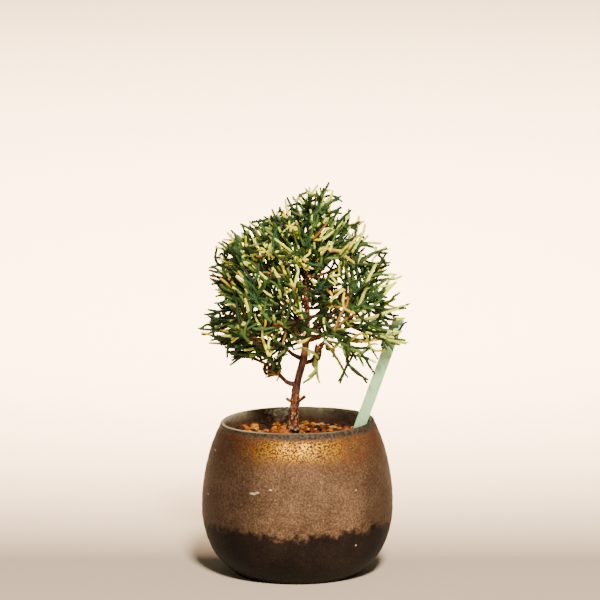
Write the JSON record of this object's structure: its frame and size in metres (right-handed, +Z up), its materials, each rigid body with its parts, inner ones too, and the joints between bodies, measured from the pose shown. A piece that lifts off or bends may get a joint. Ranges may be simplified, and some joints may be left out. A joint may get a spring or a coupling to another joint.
{
  "type": "miniature potted juniper",
  "caption": "Miniature variegated juniper with a leaning trunk and a full rounded crown, in a round stoneware pot of gravel with a blank plant label.",
  "frame": {"origin": "centre of the pot's flat underside", "axes": "+Z up the tree; the tree's front faces -Y; the trunk leans and the label stands towards +X"},
  "size_m": [0.0917, 0.086, 0.1763],
  "materials": {
    "stoneware": "matt, speckled",
    "gravel": "rough",
    "label_plastic": "satin",
    "bark": "flaking bark",
    "foliage": "scaly, matt"
  },
  "bodies": {
    "root": {"pot": "stoneware", "gravel": "gravel", "label": "label_plastic", "trunk": "bark", "bough_lower_left": "bark", "bough_left": "bark", "bough_stub": "bark", "bough_right": "bark", "bough_left_middle": "bark", "bough_upper_left": "bark", "bough_upper_right": "bark", "bough_front_left": "bark", "bough_front_right": "bark", "bough_back_left": "bark", "bough_back": "bark", "bough_back_right": "bark", "foliage_lower_left": "foliage", "foliage_low_left": "foliage", "foliage_left": "foliage", "foliage_upper_left": "foliage", "foliage_crest_left": "foliage", "foliage_top": "foliage", "foliage_crest_right": "foliage", "foliage_upper_right": "foliage", "foliage_right": "foliage", "foliage_far_right": "foliage", "foliage_hanging": "foliage", "foliage_stub_sprig": "foliage", "foliage_front_left": "foliage", "foliage_front_right": "foliage", "foliage_front_top": "foliage", "foliage_front": "foliage", "foliage_back_left": "foliage", "foliage_back": "foliage", "foliage_back_right": "foliage", "foliage_back_top": "foliage"}
  },
  "joints": []
}
